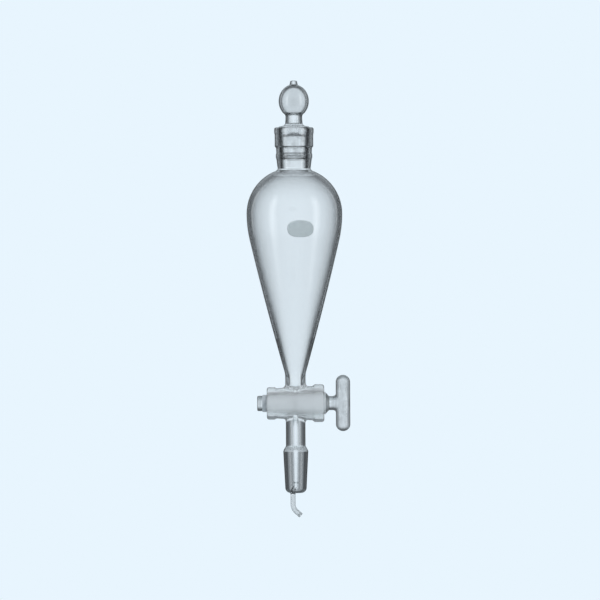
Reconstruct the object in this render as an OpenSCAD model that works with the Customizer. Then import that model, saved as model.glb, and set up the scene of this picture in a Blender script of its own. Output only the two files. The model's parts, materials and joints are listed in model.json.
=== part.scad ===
// Pear-shaped separatory funnel with a hollow ball-top stopper, a glass stopcock and a ground outlet
// cone with a bent drip tip. Millimetres. +Z is up the funnel's axis, and the origin is on that axis at
// the wide end of the ground outlet cone. The stopcock's plug lies along X, with its handle at +X.
// Heights are given from the stopcock's axis, which is cock_z above the origin.

/* [Bulb] */
// Widest outer radius of the bulb
bulb_r = 45.9; // [44:0.1:48]
// Height of the widest section above the stopcock's axis
bulb_z = 182; // [178:0.5:186]
// Radius of the dome's arc, above the widest section
dome_arc = 44; // [42:0.5:45]
// Radius of the arc just below the widest section
flank_arc = 112; // [100:1:125]
// Steepness of the flank where that arc ends, in degrees
flank_top_angle = 13.16; // [12.5:0.02:13.6]
// Steepness of the flank at the outlet, in degrees
flank_end_angle = 15.8; // [15.2:0.1:16.4]
// Wall of the bulb
bulb_wall = 2.0; // [1.6:0.1:2.4]
// Outer radius of the tube that the bulb runs out into
outlet_r = 9.75; // [9.4:0.05:10.2]
// Inner radius of that tube
outlet_bore_r = 6.4; // [5.8:0.1:7]

/* [Neck] */
// Height of the rim above the stopcock's axis
rim_z = 264.7; // [263:0.1:266]
// Outer radius of the collar round the socket
collar_r = 18.5; // [18.2:0.1:19]
// Height of the collar
collar_h = 18.2; // [17:0.1:19.5]
// Outer radius of the neck below the socket
neck_r = 15.85; // [15.4:0.05:16.2]
// Inner radius of the neck below the socket
neck_bore_r = 13; // [12.6:0.1:13.2]
// Radius of the ground cone at its wide end
socket_r = 14.6; // [14.4:0.05:14.8]
// Length of the ground socket
socket_len = 32; // [30:0.5:33]

/* [Stopper] */
// Widest radius of the ball
ball_r = 14.45; // [13.8:0.05:15]
// Half the height of the ball, which is a little taller than it is wide
ball_half_h = 16.1; // [15.4:0.1:16.8]
// Height of the ball's centre above the stopcock's axis
ball_z = 290; // [289:0.1:291]
// Wall of the hollow ball and cone
stopper_wall = 2.0; // [1.6:0.1:2.2]
// Radius of the stopper's neck
grip_r = 8; // [7.6:0.1:8.4]
// Radius of the passage through that neck
grip_bore_r = 3.4; // [3:0.1:4]
// Height of the stopper's flat lower end above the stopcock's axis
stopper_end_z = 234; // [233.5:0.1:236]

/* [Stopcock] */
// Length of the barrel
barrel_len = 55; // [52:0.5:58]
// Radius of the plug where the funnel's axis crosses it
plug_mid_r = 9.2; // [9:0.05:9.4]
// Clearance between the plug and the barrel, on the radius
ground_gap = 0.05; // [0.02:0.01:0.08]
// Bore of the stopcock
cock_bore = 4; // [2:0.5:4]
// Radius of the plug's small end, where the retaining ring grips it
plug_end_r = 7.35; // [7.2:0.05:7.4]
// Outer radius of the retaining ring
ring_r = 8.3; // [8:0.1:8.6]
// Width of the retaining ring
ring_w = 4; // [3:0.2:4.6]
// Height of the handle when it stands upright
handle_h = 54; // [50:1:58]
// Width of the handle along the plug
handle_w = 13.8; // [12.5:0.1:14.5]
// Thickness of the handle
handle_t = 8; // [7:0.5:9]

/* [Outlet] */
// Height of the stopcock's axis above the wide end of the ground cone
cock_z = 46; // [44.5:0.5:48]
// Outer radius of the stem
stem_r = 9.4; // [9.2:0.1:9.7]
// Radius of the ground cone at its wide end
cone_r = 12; // [11.9:0.05:12.1]
// Length of the ground cone
cone_len = 40; // [38:0.5:41]
// Outer radius of the drip tube
tip_r = 2.4; // [2.2:0.1:2.8]
// Inner radius of the drip tube
tip_bore_r = 1.3; // [1:0.1:1.5]
// Radius of the drip tube's bend
tip_bend_r = 9; // [8:0.5:10]
// Angle that the drip tube bends through
tip_bend = 48; // [35:1:55]

/* [Hidden] */
$fn = 96;
taper = 0.05;                            // change of radius along a ground cone: 1 in 10 on the diameter

// The glass sections meet on these heights.
neck_joint_z = rim_z - 38.7;
bulb_joint_z = 19;
stem_top_z = -19;
stem_end_z = -41;
cone_top_z = -cock_z;
cone_end_z = cone_top_z - cone_len;

socket_top_z = rim_z - 1;
barrel_half = barrel_len / 2;
knob_joint_z = rim_z - 3.2;
plug_large_x = barrel_half + 4;          // where the ground plug ends and the handle's neck begins
ring_x = -barrel_half - 0.3;             // the retaining ring's face beside the barrel
plug_end_x = -barrel_half - 9.2;
handle_x = barrel_half + 11.2;           // the handle's near edge
tip_start_z = cone_end_z + 9;            // where the drip tube leaves the straight bore
tip_offset = 2.9;                        // how far the drip tube steps aside
tip_straight = 11;
tip_last = 6.2;

function arc(cx, cy, r, from, to, steps) =
    [for (i = [0 : steps]) let (a = from + (to - from) * i / steps) [cx + r * cos(a), cy + r * sin(a)]];
function flip(points) = [for (i = [len(points) - 1 : -1 : 0]) points[i]];
function ground_r(z) = socket_r - taper * (socket_top_z - z);
function plug_r(x) = plug_mid_r + taper * x;

// One side of the bulb's wall, from the neck down to the outlet tube. inset is 0 outside and the
// wall's thickness inside, and both sides keep the same arc centres at the top.
function bulb_side(inset, top_r, tube_r) =
    let (
        dome_x = bulb_r - dome_arc,
        dome = dome_arc - inset,
        lip = 3,
        lip_x = top_r + lip,
        lip_z = bulb_z + sqrt(pow(dome + lip, 2) - pow(lip_x - dome_x, 2)),
        meet = atan2(lip_z - bulb_z, lip_x - dome_x),
        flank = flank_arc - inset,
        flank_x = bulb_r - flank_arc,
        x1 = flank_x + flank * cos(flank_top_angle),
        z1 = bulb_z - flank * sin(flank_top_angle),
        toe = 20 + inset,
        long = (x1 - tube_r - toe * (1 - cos(flank_end_angle))) / (cos(flank_top_angle) - cos(flank_end_angle)),
        long_x = x1 - long * cos(flank_top_angle),
        long_z = z1 + long * sin(flank_top_angle),
        z2 = long_z - long * sin(flank_end_angle),
        toe_z = z2 - toe * sin(flank_end_angle)
    )
    concat(
        [[top_r, neck_joint_z]],
        arc(lip_x, lip_z, lip, 180, 180 + meet, 5),
        arc(dome_x, bulb_z, dome, meet, 0, 18),
        arc(flank_x, bulb_z, flank, -2, -flank_top_angle, 5),
        arc(long_x, long_z, long, -flank_top_angle, -flank_end_angle, 6),
        arc(tube_r + toe, toe_z, toe, 180 - flank_end_angle, 180, 4),
        [[tube_r, bulb_joint_z]]);

module bulb() {
    translate([0, 0, cock_z])
    color("aliceblue", 0.4)
    rotate_extrude()
    polygon(concat(
        bulb_side(0, neck_r, outlet_r),
        flip(bulb_side(bulb_wall, neck_bore_r, outlet_bore_r))));
}

module neck_socket() {
    translate([0, 0, cock_z])
    color("aliceblue", 0.4)
    rotate_extrude()
    polygon(concat(
        [[neck_bore_r, neck_joint_z],
         [neck_r, neck_joint_z],
         [neck_r + 0.45, neck_joint_z + 3.6],
         [neck_r + 1.15, neck_joint_z + 7.6]],
        arc(neck_r - 1.2, neck_joint_z + 11.2, 2.75, -35, 35, 5),
        [[neck_r + 1.35, rim_z - collar_h - 1.4],
         [collar_r - 0.6, rim_z - collar_h - 0.2]],
        arc(collar_r - 1.5, rim_z - collar_h + 2.2, 1.8, -50, 30, 5),
        [[collar_r, rim_z - collar_h + 5],
         [collar_r, rim_z - 6.4]],
        arc(collar_r - 2.05, rim_z - 2.5, 2.5, -30, 90, 7),
        [[socket_r + 0.9, rim_z],
         [ground_r(socket_top_z) + ground_gap, socket_top_z],
         [ground_r(socket_top_z - socket_len) + ground_gap, socket_top_z - socket_len],
         [neck_bore_r, socket_top_z - socket_len - 0.5]]));
}

module barrel_outside() {
    rotate([0, 90, 0])
    rotate_extrude()
    polygon(concat(
        [[0, -barrel_half], [13.4, -barrel_half]],
        arc(13.3, -barrel_half + 2.2, 2.2, -80, 0, 4),
        arc(11.3, -barrel_half + 6.2, 4.2, 0, 50, 4),
        [[14.5, -barrel_half + 11],
         [16.4, barrel_half - 12]],
        arc(13.7, barrel_half - 7.4, 4.4, -45, 0, 4),
        arc(15.5, barrel_half - 2.6, 2.6, 0, 80, 5),
        [[0, barrel_half]]));
}

module side_arms() {
    cylinder(r = outlet_r, h = bulb_joint_z);
    translate([0, 0, 13.6])
    cylinder(r1 = outlet_r + 3.4, r2 = outlet_r, h = bulb_joint_z - 13.6);
    translate([0, 0, stem_top_z])
    cylinder(r = stem_r, h = -stem_top_z);
    translate([0, 0, stem_top_z + 1.4])
    cylinder(r1 = stem_r, r2 = stem_r + 2.4, h = 4);
}

module stopcock_barrel() {
    translate([0, 0, cock_z])
    color("ghostwhite", 0.7)
    difference() {
        union() {
            barrel_outside();
            side_arms();
        }
        rotate([0, 90, 0])
        translate([0, 0, -barrel_half - 1])
        cylinder(
            r1 = plug_r(-barrel_half - 1) + ground_gap,
            r2 = plug_r(barrel_half + 1) + ground_gap,
            h = barrel_len + 2);
        translate([0, 0, stem_top_z - 1])
        cylinder(d = cock_bore, h = bulb_joint_z - stem_top_z);
        translate([0, 0, bulb_joint_z - 1.4])
        sphere(r = outlet_bore_r);
        translate([0, 0, bulb_joint_z - 1.4])
        cylinder(r = outlet_bore_r, h = 3);
    }
}

module lower_stem() {
    translate([0, 0, cock_z])
    color("aliceblue", 0.4)
    difference() {
        translate([0, 0, stem_end_z])
        cylinder(r = stem_r, h = stem_top_z - stem_end_z);
        translate([0, 0, stem_end_z - 1])
        cylinder(d = cock_bore, h = stem_top_z - stem_end_z + 2);
    }
}

// Half of the bore's step aside, as a rod bent through the angle swing about its own arc's centre.
module swing_rod(swing, swing_r, r) {
    rotate([90, 0, 0])
    rotate([0, 0, -swing])
    rotate_extrude(angle = swing)
    translate([swing_r, 0])
    circle(r = r);
}

// The bore steps aside inside the cone's thick end, in two equal arcs.
module side_step(r) {
    drop = tip_start_z - cone_end_z;
    swing = 2 * atan2(tip_offset, drop);
    swing_r = drop / 2 / sin(swing);
    translate([-swing_r, 0, tip_start_z])
    swing_rod(swing, swing_r, r);
    translate([swing_r - tip_offset, 0, cone_end_z])
    rotate([0, 180, 0])
    swing_rod(swing, swing_r, r);
}

module outlet_cone() {
    end_r = cone_r - taper * (cone_len - 5);
    translate([0, 0, cock_z])
    color("aliceblue", 0.4)
    difference() {
        rotate_extrude()
        polygon(concat(
            [[0, stem_end_z],
             [stem_r, stem_end_z],
             [stem_r + 0.6, stem_end_z - 1.6],
             [cone_r - 0.5, cone_top_z + 1.3],
             [cone_r, cone_top_z]],
            arc(end_r - 5, cone_end_z + 5, 5, 0, -90, 8),
            [[0, cone_end_z]]));
        translate([0, 0, tip_start_z])
        cylinder(d = cock_bore, h = stem_end_z - tip_start_z + 1);
        side_step(tip_bore_r);
    }
}

module tube_ring(swell = 0) {
    difference() {
        circle(r = tip_r + swell);
        circle(r = tip_bore_r - swell);
    }
}

// The bend turns from straight down towards +X, about the point swing_x beside the straight part's end.
// The last stretch overlaps the bend, and its wall is a little thicker, as a flame-polished end's is.
module drip_tip() {
    swing_x = tip_bend_r - tip_offset;
    low_z = cone_end_z - tip_straight;
    overlap = 0.4;
    swell = 0.15;
    translate([0, 0, cock_z])
    color("aliceblue", 0.4) {
        translate([-tip_offset, 0, low_z])
        rotate([0, 0, 180])
        linear_extrude(tip_straight)
        tube_ring();
        translate([swing_x, 0, low_z])
        rotate([90, 0, 0]) {
            rotate([0, 0, 180])
            rotate_extrude(angle = tip_bend)
            translate([tip_bend_r, 0])
            tube_ring();
            rotate([0, 0, 180 + tip_bend])
            translate([tip_bend_r, -overlap, 0])
            rotate([-90, 0, 0])
            linear_extrude(tip_last + overlap)
            tube_ring(swell);
        }
    }
}

module stopper_cone() {
    translate([0, 0, cock_z])
    color("aliceblue", 0.4)
    rotate_extrude()
    polygon([
        [0, stopper_end_z],
        [ground_r(stopper_end_z) - 0.8, stopper_end_z],
        [ground_r(stopper_end_z + 0.8), stopper_end_z + 0.8],
        [ground_r(knob_joint_z), knob_joint_z],
        [ground_r(knob_joint_z) - stopper_wall, knob_joint_z],
        [ground_r(stopper_end_z) - stopper_wall, stopper_end_z + 4.4],
        [ground_r(stopper_end_z) - stopper_wall - 1.6, stopper_end_z + 2.8],
        [0, stopper_end_z + 2.6]]);
}

module stopper_knob() {
    neck_z = ball_z - ball_half_h;
    low = asin(grip_r / ball_r);
    low_in = asin(grip_bore_r / (ball_r - stopper_wall));
    translate([0, 0, cock_z])
    color("aliceblue", 0.4)
    rotate_extrude()
    polygon(concat(
        [[ground_r(knob_joint_z) - stopper_wall, knob_joint_z],
         [ground_r(knob_joint_z), knob_joint_z],
         [ground_r(rim_z - 0.4), rim_z - 0.4]],
        arc(ground_r(rim_z) - 1.1, rim_z - 0.4, 1.1, 20, 80, 3),
        [[grip_r + 3.4, rim_z + 1.2]],
        arc(grip_r + 3.2, rim_z + 4.4, 3.2, 255, 185, 5),
        [[grip_r, rim_z + 6.6], [grip_r, neck_z - 1]],
        [for (a = [low : (172 - low) / 24 : 165]) [ball_r * sin(a), ball_z - ball_half_h * cos(a)]],
        [[3.9, ball_z + ball_half_h - 0.3], [3.5, ball_z + ball_half_h + 1.6]],
        arc(2.1, ball_z + ball_half_h + 2.1, 1.4, 0, 90, 4),
        [[0, ball_z + ball_half_h + 3.5]],
        [for (a = [180 : (low_in - 180) / 20 : low_in + 1])
            [(ball_r - stopper_wall) * sin(a), ball_z - (ball_half_h - stopper_wall) * cos(a)]],
        [[grip_bore_r, neck_z + 2.4],
         [grip_bore_r, rim_z + 3]],
        arc(grip_bore_r + 4, rim_z + 2.4, 4, 180, 250, 5)));
}

module stopcock_plug() {
    translate([0, 0, cock_z])
    color("ghostwhite", 0.8)
    difference() {
        rotate([0, 90, 0])
        rotate_extrude()
        polygon(concat(
            [[0, plug_end_x],
             [plug_end_r - 0.9, plug_end_x],
             [plug_end_r, plug_end_x + 0.9],
             [plug_end_r, ring_x],
             [plug_r(ring_x + 0.2), ring_x + 0.2],
             [plug_r(barrel_half + 0.3), barrel_half + 0.3]],
            arc(plug_r(barrel_half) - 1.6, barrel_half + 0.6, 1.6, 10, 70, 3),
            [[8.3, plug_large_x - 1.2],
             [6.9, plug_large_x],
             [0, plug_large_x]]));
        translate([0, 0, -12])
        cylinder(d = cock_bore, h = 24);
    }
}

module plug_handle() {
    end_r = handle_w / 2;
    translate([0, 0, cock_z])
    color("ghostwhite", 0.8) {
        rotate([0, 90, 0])
        rotate_extrude()
        polygon([
            [0, plug_large_x],
            [6.9, plug_large_x],
            [6.7, plug_large_x + 1.5],
            [6.8, plug_large_x + 3.6],
            [7.6, handle_x - 0.6],
            [7.6, handle_x + 0.4],
            [0, handle_x + 3]]);
        translate([handle_x + end_r, handle_t / 2, 0])
        rotate([90, 0, 0])
        linear_extrude(handle_t) {
            square([handle_w, handle_h - handle_w], center = true);
            translate([0, handle_h / 2 - end_r])
            circle(r = end_r);
            translate([0, end_r - handle_h / 2])
            circle(r = end_r);
        }
    }
}

module retaining_ring() {
    translate([0, 0, cock_z])
    color("lightgray")
    rotate([0, 90, 0])
    rotate_extrude()
    polygon([
        [plug_end_r + ground_gap, ring_x - ring_w],
        [ring_r - 0.3, ring_x - ring_w],
        [ring_r, ring_x - ring_w + 0.3],
        [ring_r, ring_x - 0.3],
        [ring_r - 0.3, ring_x],
        [plug_end_r + ground_gap, ring_x]]);
}

bulb();
neck_socket();
stopcock_barrel();
lower_stem();
outlet_cone();
drip_tip();
stopper_cone();
stopper_knob();
stopcock_plug();
plug_handle();
retaining_ring();
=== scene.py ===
"""Looks for the pear-shaped separatory funnel: its glass bodies, retaining ring, write-on patch and studio.

Meshes are built in millimetres from the stopcock's axis, as the CAD source is, and place() puts them in the
row frame in metres. +Z is up the funnel, and the stopcock's plug lies along X with its handle at +X.
"""
import json
import math

import bmesh
import bpy
import numpy as np
import openvdb
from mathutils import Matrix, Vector
from mathutils.geometry import delaunay_2d_cdt


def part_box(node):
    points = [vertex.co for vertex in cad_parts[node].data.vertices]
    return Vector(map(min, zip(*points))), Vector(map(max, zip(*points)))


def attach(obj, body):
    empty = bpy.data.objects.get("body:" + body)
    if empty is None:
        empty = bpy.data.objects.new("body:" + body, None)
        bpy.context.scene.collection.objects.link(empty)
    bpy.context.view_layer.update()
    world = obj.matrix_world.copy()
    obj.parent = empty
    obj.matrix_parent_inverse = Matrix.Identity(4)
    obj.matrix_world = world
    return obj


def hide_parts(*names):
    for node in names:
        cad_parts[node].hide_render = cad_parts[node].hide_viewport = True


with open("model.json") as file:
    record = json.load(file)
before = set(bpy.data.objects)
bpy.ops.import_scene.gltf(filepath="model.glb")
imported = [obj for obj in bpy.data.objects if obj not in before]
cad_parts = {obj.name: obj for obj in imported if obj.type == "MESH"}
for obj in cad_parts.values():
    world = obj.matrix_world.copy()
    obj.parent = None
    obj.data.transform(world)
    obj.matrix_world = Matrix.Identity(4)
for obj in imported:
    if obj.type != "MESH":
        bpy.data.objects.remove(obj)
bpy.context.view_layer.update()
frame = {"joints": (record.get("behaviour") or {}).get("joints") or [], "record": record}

MM = 0.001
AROUND = 96                     # points in a ring
IOR = 1.474                     # borosilicate glass

# -------------------------------------------- sizes, from the frame

AXIS_Z = next(j for j in frame["joints"] if j["name"] == "plug_turn")["pos_m"][2]
MOUNTS = {m["name"]: m for m in frame["record"]["mounts"]}


def span(node):
    """A CAD node's lowest and highest corners, in millimetres from the stopcock's axis."""
    low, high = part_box(node)
    axis = Vector((0, 0, AXIS_Z))
    return (low - axis) / MM, (high - axis) / MM


BULB_LOW, BULB_HIGH = span("bulb")
BULB_R = BULB_HIGH.x
RIM_Z = span("neck_socket")[1].z
BARREL_X = span("stopcock_barrel")[1].x
STEM_LOW, STEM_HIGH = span("lower_stem")
STEM_R = STEM_HIGH.x
CONE_R = MOUNTS["outlet_cone"]["dims"]["r_mm"]
CONE_LEN = MOUNTS["outlet_cone"]["dims"]["length_mm"]
CONE_TOP_Z = -AXIS_Z / MM
CONE_END_Z = CONE_TOP_Z - CONE_LEN
PLUG_LOW, PLUG_HIGH = span("stopcock_plug")
HANDLE_LOW, HANDLE_HIGH = span("plug_handle")
RING_LOW, RING_HIGH = span("retaining_ring")
RING_R = -RING_LOW.z
KNOB_TOP_Z = span("stopper_knob")[1].z

# the CAD source's sizes that no node's box gives
TAPER = 0.05                    # change of radius along every ground cone
GAP = 0.05                      # clearance of the ground joints
WALL = 2.0                      # bulb and hollow stopper
BULB_Z = 182.0                  # the bulb's widest section
SOCKET_R = 14.6                 # the stopper's cone at the top of the ground zone
SOCKET_TOP_Z = RIM_Z - 1.0      # the ground zone's top
SOCKET_LEN = 32.0
NECK_R = 15.85                  # the neck where it meets the bulb
NECK_BORE_R = 13.0
OUTLET_R = 9.75                 # the tube between the bulb and the stopcock
OUTLET_BORE_R = 6.4
PLUG_MID_R = 9.2                # the plug's radius on the funnel's axis
COCK_BORE_R = 2.0               # the bore through the plug, the stem and the cone
CONE_FILLET = 5.0               # the rounding of the outlet cone's end
CONE_END_R = CONE_R - TAPER * (CONE_LEN - CONE_FILLET)
TIP_R = 2.4                     # the drip tube
TIP_BORE_R = 1.3
TIP_OFFSET = 2.9                # how far towards -X it comes out of the cone
TIP_STRAIGHT = 11.0
TIP_BEND_R = 9.0
TIP_BEND = 48.0                 # degrees
TIP_LAST = 6.2                  # from the bend to the end
STOPPER_END_Z = RIM_Z - 30.7
BALL_Z = 290.0                  # the middle of the knob's ball
BALL_R = 14.45
BALL_HALF_H = 16.1
GRIP_R = 8.0                    # the neck between the ball and the stopper's shoulder
GRIP_BORE_R = 3.4


def socket_ground_r(z):
    return SOCKET_R - TAPER * (SOCKET_TOP_Z - z)


def plug_ground_r(x):
    return PLUG_MID_R + TAPER * x


# -------------------------------------------- outlines

def arc(cx, cy, r, start, end, steps):
    """Points on an arc about (cx, cy), angles in degrees."""
    angles = np.radians(np.linspace(start, end, steps + 1))
    return [(cx + r * math.cos(a), cy + r * math.sin(a)) for a in angles]


def rounded(corners, turn=10.0):
    """The outline through (x, y, radius) corners, each rounded off to its radius in steps of turn degrees."""
    straight = math.radians(89.5)           # half the angle at a corner that needs no rounding
    longest = 0.48                          # how much of a side one rounding may take
    points = []
    for i, (x, y, r) in enumerate(corners):
        if r <= 0 or i in (0, len(corners) - 1):
            points.append((x, y))
            continue
        here = np.array((x, y), float)
        back = np.array(corners[i - 1][:2], float) - here
        ahead = np.array(corners[i + 1][:2], float) - here
        back_len, ahead_len = np.linalg.norm(back), np.linalg.norm(ahead)
        back, ahead = back / back_len, ahead / ahead_len
        half = math.acos(max(-1.0, min(1.0, float(back @ ahead)))) / 2
        if half > straight:
            points.append((x, y))
            continue
        cut = min(r / math.tan(half), longest * back_len, longest * ahead_len)
        radius = cut * math.tan(half)
        middle = back + ahead
        centre = here + middle / np.linalg.norm(middle) * (radius / math.sin(half))
        start, end = here + back * cut - centre, here + ahead * cut - centre
        first = math.atan2(start[1], start[0])
        sweep = (math.atan2(end[1], end[0]) - first + math.pi) % (2 * math.pi) - math.pi
        steps = max(2, math.ceil(abs(math.degrees(sweep)) / turn))
        points += arc(centre[0], centre[1], radius, math.degrees(first), math.degrees(first + sweep), steps)
    return points


def bulb_side(inset, top_r, tube_r, low_z):
    """One side of the bulb's wall, as (radius, height) from the neck down to the outlet tube. inset is the
    wall's depth under the outer surface. Five arcs follow each other: the lip under the neck, the dome, the
    flank, a long and nearly straight one, and the toe that turns into the tube."""
    dome_arc, flank_arc, lip = 44.0, 112.0, 3.0
    top_angle, end_angle = 13.16, 15.8
    neck_z = BULB_HIGH.z
    dome_x, dome = BULB_R - dome_arc, dome_arc - inset
    lip_x = top_r + lip
    lip_z = BULB_Z + math.sqrt((dome + lip) ** 2 - (lip_x - dome_x) ** 2)
    meet = math.degrees(math.atan2(lip_z - BULB_Z, lip_x - dome_x))
    flank, flank_x = flank_arc - inset, BULB_R - flank_arc
    cos_top, sin_top = math.cos(math.radians(top_angle)), math.sin(math.radians(top_angle))
    cos_end, sin_end = math.cos(math.radians(end_angle)), math.sin(math.radians(end_angle))
    x1, z1 = flank_x + flank * cos_top, BULB_Z - flank * sin_top
    toe = 20 + inset
    long = (x1 - tube_r - toe * (1 - cos_end)) / (cos_top - cos_end)
    long_x, long_z = x1 - long * cos_top, z1 + long * sin_top
    toe_z = long_z - long * sin_end - toe * sin_end
    return ([(top_r, neck_z)]
            + arc(lip_x, lip_z, lip, 180, 180 + meet, 10)
            + arc(dome_x, BULB_Z, dome, meet, 0, 36)[1:]
            + arc(flank_x, BULB_Z, flank, 0, -top_angle, 10)[1:]
            + arc(long_x, long_z, long, -top_angle, -end_angle, 20)[1:]
            + arc(tube_r + toe, toe_z, toe, 180 - end_angle, 180, 8)[1:]
            + [(tube_r, low_z)])


# -------------------------------------------- meshes

class Skin:
    """A piece's points and faces. Each face carries the number of its surface zone."""

    def __init__(self):
        self.points, self.faces, self.zones = [], [], []

    def add(self, points):
        """Adds the points and returns their places in self.points."""
        first = len(self.points)
        self.points += [tuple(float(c) for c in p) for p in points]
        return list(range(first, len(self.points)))

    def band(self, a, b, zone=0):
        """Quads between two rings of the same count."""
        n = len(a)
        for i in range(n):
            j = (i + 1) % n
            self.faces.append((a[i], a[j], b[j], b[i]))
            self.zones.append(zone)

    def bands(self, rings, zone=0):
        """Bands along a row of rings. zone is a number, or a function of the band's place in the row."""
        for i, (a, b) in enumerate(zip(rings, rings[1:])):
            self.band(a, b, zone(i) if callable(zone) else zone)

    def cap(self, ring, point, zone=0):
        """Triangles from a ring to one point."""
        tip = self.add([point])[0]
        for i, a in enumerate(ring):
            self.faces.append((a, ring[(i + 1) % len(ring)], tip))
            self.zones.append(zone)

    def patch(self, flat, index, edges, keep, zone=0):
        """Fills a flat map of points, whose places in self.points are index, where keep(x, y) holds."""
        verts, _, faces, origin, _, _ = delaunay_2d_cdt([Vector(p) for p in flat], edges, [], 0, 1e-7)
        for face in faces:
            x = sum(verts[i].x for i in face) / len(face)
            y = sum(verts[i].y for i in face) / len(face)
            corners = [index[origin[i][0]] for i in face]
            if keep(x, y) and len(set(corners)) == len(corners):
                self.faces.append(tuple(corners))
                self.zones.append(zone)


def turns(n=AROUND):
    """The angles of a ring's points."""
    return [2 * math.pi * i / n for i in range(n)]


def ring_z(r, z):
    """A level ring about the funnel's axis."""
    return [(r * math.cos(a), r * math.sin(a), z) for a in turns()]


def ring_x(x, r):
    """A ring about the stopcock's axis. It starts at -Y and turns up through +Z."""
    return [(x, r * math.sin(a - math.pi / 2), r * math.cos(a - math.pi / 2)) for a in turns()]


def ring_on_path(centre, along, r):
    """A ring about a point of a path that lies in the XZ plane and runs along (x, z)."""
    (cx, cz), (tx, tz) = centre, along
    return [(cx - tz * r * math.cos(a), r * math.sin(a), cz + tx * r * math.cos(a)) for a in turns()]


def upright_loop(r, side, radius_at):
    """Where an upright tube of radius r meets a sleeve about X, above (side 1) or below it (side -1)."""
    points = []
    for a in turns():
        x, y = r * math.cos(a), r * math.sin(a)
        points.append((x, y, side * math.sqrt(radius_at(x) ** 2 - y * y)))
    return points


def sleeve(skin, x0, x1, radius_at, holes, zone, rows):
    """A sleeve about X with round holes above and below the axis. Each hole is (side, r, loop of point
    indices). The sleeve is laid out flat, with its length across and its girth up, and filled between its
    rings and the holes. Returns its two end rings."""
    clearance, exact = 0.55, 0.001          # a ring's points keep clear of a hole, and faces end at its loop
    xs = np.linspace(x0, x1, rows + 1)
    mean_r = radius_at((x0 + x1) / 2)
    full = mean_r * 2 * math.pi
    flat, index, rings = [], [], []
    for x in xs:
        ids = []
        for p in ring_x(x, radius_at(x)):
            covered = any(p[2] * side > 0 and math.hypot(p[0], p[1]) < r + clearance for side, r, _ in holes)
            ids.append(None if covered else skin.add([p])[0])
        rings.append(ids)
        for j in range(AROUND + 1):
            if ids[j % AROUND] is not None:
                flat.append((x, full * j / AROUND))
                index.append(ids[j % AROUND])
    where = {(round(x, 6), round(s, 6)): i for i, (x, s) in enumerate(flat)}

    def at(x, s):
        return where[(round(x, 6), round(s, 6))]

    edges = []
    for x in (xs[0], xs[-1]):
        edges += [(at(x, full * j / AROUND), at(x, full * (j + 1) / AROUND)) for j in range(AROUND)]
    for s in (0.0, full):
        edges += [(at(a, s), at(b, s)) for a, b in zip(xs, xs[1:])]
    for _, _, loop in holes:
        first = len(flat)
        for i in loop:
            x, y, z = skin.points[i]
            flat.append((x, mean_r * ((math.atan2(y, z) + math.pi / 2) % (2 * math.pi))))
            index.append(i)
        edges += [(first + k, first + (k + 1) % len(loop)) for k in range(len(loop))]

    def solid(x, s):
        angle = s / mean_r - math.pi / 2
        y, z = radius_at(x) * math.sin(angle), radius_at(x) * math.cos(angle)
        return not any(z * side > 0 and math.hypot(x, y) < r - exact for side, r, _ in holes)

    skin.patch(flat, index, edges, solid, zone)
    return rings[0], rings[-1]


def flowing_joint(skin, tube, tube_along, loop, loop_along, zone, rows=8):
    """The flowed glass where a tube meets another surface: one Bezier curve for each point of the tube's
    ring. The directions point along each curve. Returns the first and the last ring."""
    pull = 0.42                             # the handles' length, of the distance between the ends
    a, d = np.array(tube, float), np.array(loop, float)
    reach = np.linalg.norm(d - a, axis=1)[:, None] * pull
    b, c = a + np.array(tube_along, float) * reach, d - np.array(loop_along, float) * reach
    rings = []
    for t in np.linspace(0, 1, rows + 1):
        s = 1 - t
        rings.append(s ** 3 * a + 3 * s * s * t * b + 3 * s * t * t * c + t ** 3 * d)
    ids = [skin.add(r) for r in rings]
    skin.bands(ids, zone)
    return ids[0], ids[-1]


def place(points):
    """Millimetres from the stopcock's axis to metres in the row frame."""
    return [(x * MM, y * MM, z * MM + AXIS_Z) for x, y, z in points]


def piece(name, skin, materials, hollow=()):
    """The piece as a smooth mesh, faces turned outwards. hollow holds the faces of a sealed void, which turn
    the other way."""
    mesh = bpy.data.meshes.new(name)
    mesh.from_pydata(place(skin.points), [], skin.faces)
    for polygon, zone in zip(mesh.polygons, skin.zones):
        polygon.material_index = zone
        polygon.use_smooth = True
    bm = bmesh.new()
    bm.from_mesh(mesh)
    bmesh.ops.recalc_face_normals(bm, faces=bm.faces)
    bm.faces.ensure_lookup_table()
    if hollow:
        bmesh.ops.reverse_faces(bm, faces=[bm.faces[i] for i in hollow])
    bm.to_mesh(mesh)
    bm.free()
    for material in materials:
        mesh.materials.append(material)
    obj = bpy.data.objects.new(name, mesh)
    bpy.context.scene.collection.objects.link(obj)
    return obj


# -------------------------------------------- materials

EVEN = (1, 1, 1)
DRAWN = (1, 1, 0.35)            # noise drawn out along the funnel's height


def new_material(name):
    material = bpy.data.materials.new(name)
    material.use_nodes = True
    nodes = material.node_tree.nodes
    return material, nodes, material.node_tree.links, nodes["Principled BSDF"]


def noise(nodes, links, scale, detail=3.0, stretch=EVEN):
    """Noise in object space. scale is in features per metre."""
    place_in = nodes.new("ShaderNodeTexCoord")
    mapping = nodes.new("ShaderNodeMapping")
    mapping.inputs["Scale"].default_value = stretch
    texture = nodes.new("ShaderNodeTexNoise")
    texture.inputs["Scale"].default_value = scale
    texture.inputs["Detail"].default_value = detail
    links.new(place_in.outputs["Object"], mapping.inputs["Vector"])
    links.new(mapping.outputs["Vector"], texture.inputs["Vector"])
    return texture.outputs["Fac"]


def ramp(nodes, links, value, stops):
    """A colour ramp over value. A stop is (position, grey or colour)."""
    node = nodes.new("ShaderNodeValToRGB")
    elements = node.color_ramp.elements
    while len(elements) < len(stops):
        elements.new(0.5)
    for element, (position, colour) in zip(elements, stops):
        element.position = position
        rgb = (colour,) * 3 if isinstance(colour, (int, float)) else colour
        element.color = (*rgb, 1)
    links.new(value, node.inputs["Fac"])
    return node.outputs["Color"]


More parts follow.
